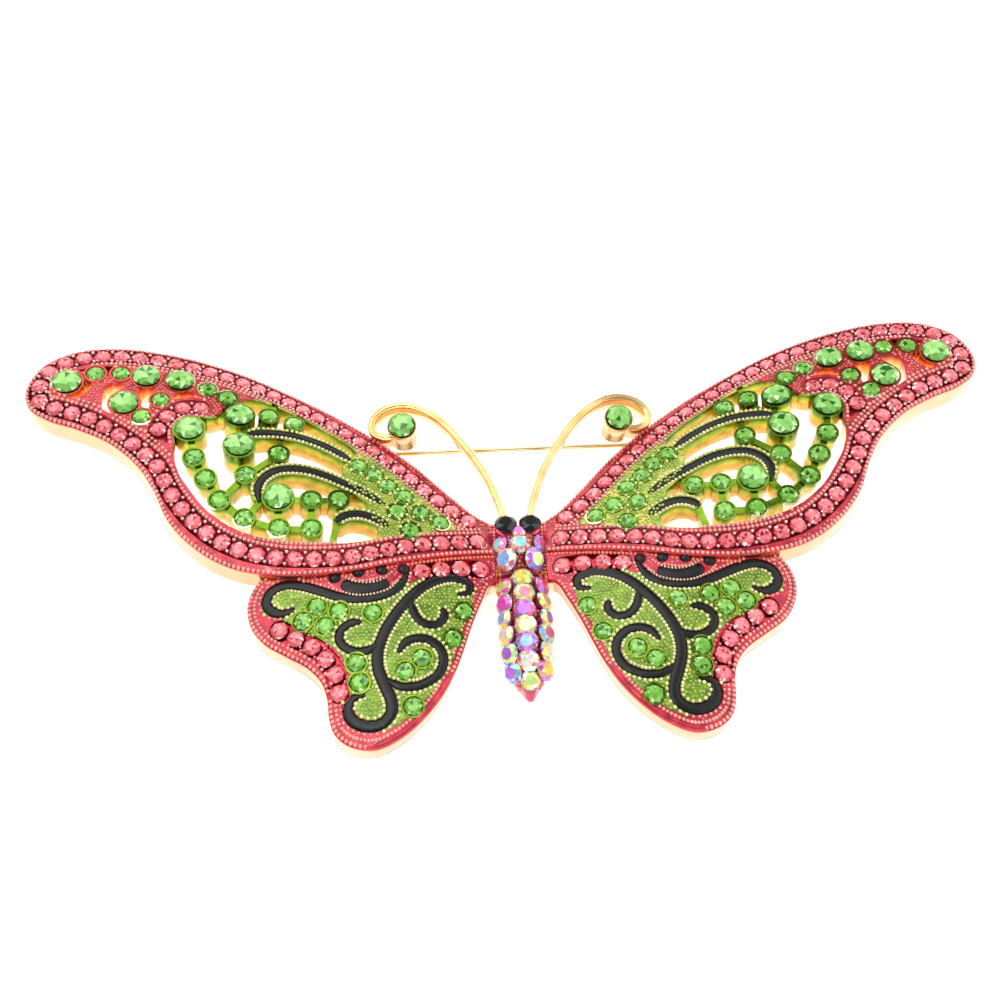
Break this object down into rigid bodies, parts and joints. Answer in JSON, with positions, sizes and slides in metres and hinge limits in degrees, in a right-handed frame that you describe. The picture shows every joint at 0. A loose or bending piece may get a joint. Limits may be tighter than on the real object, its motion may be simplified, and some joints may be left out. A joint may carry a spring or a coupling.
{
  "type": "brooch",
  "caption": "Butterfly pin brooch: openwork enamelled wings set with pink and green stones, curled antennae, hinged pin and turning safety catch.",
  "frame": {"origin": "middle of the brooch's outline, on the surface it rests on when it lies on its back", "axes": "+X to the butterfly's right wing, +Y from the tail to the head, +Z out of the front of the brooch"},
  "size_m": [0.1248, 0.0533, 0.018],
  "materials": {
    "gold_plate": "polished",
    "pink_enamel": "gloss",
    "green_enamel": "satin",
    "black_enamel": "gloss",
    "pink_stone": "polished",
    "green_stone": "polished",
    "crystal": "polished",
    "black_stone": "polished"
  },
  "bodies": {
    "brooch": {"body_casting": "gold_plate", "body_enamel": "pink_enamel", "thorax_crystals": "crystal", "abdomen_crystals": "crystal", "eye_stones": "black_stone", "fore_wing_right": "gold_plate", "fore_wing_left": "gold_plate", "hind_wing_right": "gold_plate", "hind_wing_left": "gold_plate", "fore_pink_enamel_right": "pink_enamel", "fore_pink_enamel_left": "pink_enamel", "fore_green_enamel_right": "green_enamel", "fore_green_enamel_left": "green_enamel", "fore_black_enamel_right": "black_enamel", "fore_black_enamel_left": "black_enamel", "hind_pink_enamel_right": "pink_enamel", "hind_pink_enamel_left": "pink_enamel", "hind_green_enamel_right": "green_enamel", "hind_green_enamel_left": "green_enamel", "hind_black_enamel_right": "black_enamel", "hind_black_enamel_left": "black_enamel", "fore_pink_stones_right": "pink_stone", "fore_pink_stones_left": "pink_stone", "spur_pink_stones_right": "pink_stone", "spur_pink_stones_left": "pink_stone", "fore_large_stones_right": "green_stone", "fore_large_stones_left": "green_stone", "fore_small_stones_right": "green_stone", "fore_small_stones_left": "green_stone", "root_stones_right": "green_stone", "root_stones_left": "green_stone", "hind_pink_stones_right": "pink_stone", "hind_pink_stones_left": "pink_stone", "hind_green_stones_right": "green_stone", "hind_green_stones_left": "green_stone", "antenna_right": "gold_plate", "antenna_left": "gold_plate", "antenna_stone_right": "green_stone", "antenna_stone_left": "green_stone", "hinge_bracket": "gold_plate", "hinge_rivet": "gold_plate", "catch_housing": "gold_plate"},
    "pin": {"pin_stem": "gold_plate"},
    "catch": {"catch_rotor": "gold_plate"}
  },
  "joints": [
    {"name": "pin_hinge", "type": "hinge", "parent": "brooch", "child": "pin", "pos_m": [-0.023, 0.0174, 0.002], "axis": [0, 1, 0], "range_deg": [0, 95]},
    {"name": "catch_turn", "type": "hinge", "parent": "brooch", "child": "catch", "pos_m": [0.023, 0.0174, 0.002], "axis": [-1, 0, 0], "range_deg": [0, 60]}
  ]
}
